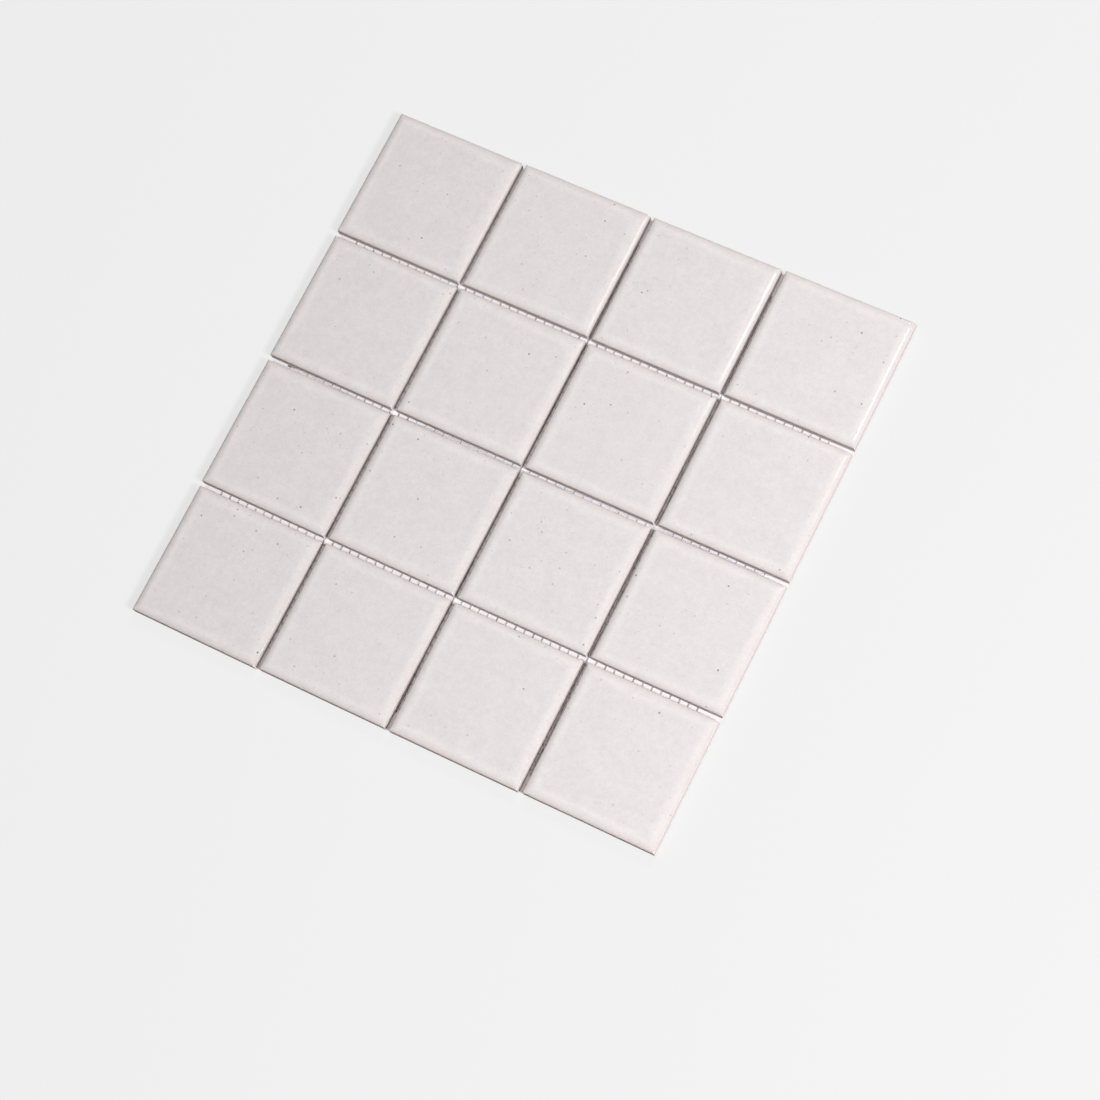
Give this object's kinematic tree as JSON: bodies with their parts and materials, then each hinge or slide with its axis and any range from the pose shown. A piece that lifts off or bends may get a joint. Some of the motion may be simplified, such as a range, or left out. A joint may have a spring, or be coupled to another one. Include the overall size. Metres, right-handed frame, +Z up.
{
  "type": "mosaic tile sheet",
  "caption": "Square glazed ceramic chips with cushioned edges, held in a grid with open joints by a glass-fibre net glued to their backs, for bedding on a wall or floor.",
  "frame": {"origin": "on the surface that the sheet lies on, under the middle of its square outline", "axes": "+Z up, out of the glazed faces; X and Y along the two directions of the joints, +Y towards row 1 and +X towards column 4"},
  "size_m": [0.3003, 0.3007, 0.0067],
  "materials": {
    "glaze": "satin",
    "glass_yarn": "matte",
    "glue": "satin"
  },
  "bodies": {
    "root": {"tile_r1_c1": "glaze", "tile_r1_c2": "glaze", "tile_r1_c3": "glaze", "tile_r1_c4": "glaze", "tile_r2_c1": "glaze", "tile_r2_c2": "glaze", "tile_r2_c3": "glaze", "tile_r2_c4": "glaze", "tile_r3_c1": "glaze", "tile_r3_c2": "glaze", "tile_r3_c3": "glaze", "tile_r3_c4": "glaze", "tile_r4_c1": "glaze", "tile_r4_c2": "glaze", "tile_r4_c3": "glaze", "tile_r4_c4": "glaze", "net_weft": "glass_yarn", "net_warp": "glass_yarn", "glue_dabs": "glue"}
  },
  "joints": []
}
